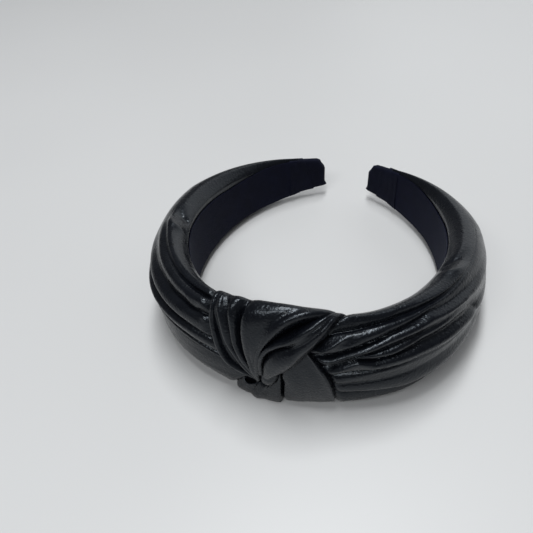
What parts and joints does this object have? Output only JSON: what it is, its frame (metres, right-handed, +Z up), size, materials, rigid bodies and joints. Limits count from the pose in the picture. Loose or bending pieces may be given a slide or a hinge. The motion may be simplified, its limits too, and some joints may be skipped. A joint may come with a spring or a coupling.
{
  "type": "knotted headband",
  "caption": "Padded leather headband with a knot at the crown, a fabric lining and ribbon-wrapped tips.",
  "frame": {"origin": "on the surface that the headband stands on, midway between the front of the knot and the backs of the tips, in the middle between the arms", "axes": "+Z up, across the band's height; -Y towards the knot and +Y towards the tips; +X towards the right arm"},
  "size_m": [0.1482, 0.1452, 0.0475],
  "materials": {
    "leather": "soft pebbled grain, satin",
    "lining": "ribbed ribbon, matte",
    "tip_ribbon": "ribbed ribbon, matte",
    "foam": "open foam, matte",
    "core": "springy sheet, matte"
  },
  "bodies": {
    "crown": {"core_band": "core", "lining_ribbon": "lining", "knot_base": "leather", "knot_wrap": "leather", "knot_fold": "leather", "knot_flap": "leather", "knot_loop": "leather"},
    "left_arm": {"left_cover": "leather", "left_foam_pad": "foam", "left_tip_wrap": "tip_ribbon"},
    "right_arm": {"right_cover": "leather", "right_foam_pad": "foam", "right_tip_wrap": "tip_ribbon"}
  },
  "joints": [
    {"name": "left_flex", "type": "hinge", "parent": "crown", "child": "left_arm", "pos_m": [-0.03059, -0.05561, 0.02281], "axis": [0, 0.0732, 0.9973], "range_deg": [-4.5, 24], "stiffness_Nm_per_rad": 0.8, "deforming": ["core_band", "lining_ribbon"]},
    {"name": "right_flex", "type": "hinge", "parent": "crown", "child": "right_arm", "pos_m": [0.03059, -0.05561, 0.02281], "axis": [0, -0.0732, -0.9973], "range_deg": [-4.5, 24], "stiffness_Nm_per_rad": 0.8, "deforming": ["core_band", "lining_ribbon"]}
  ]
}
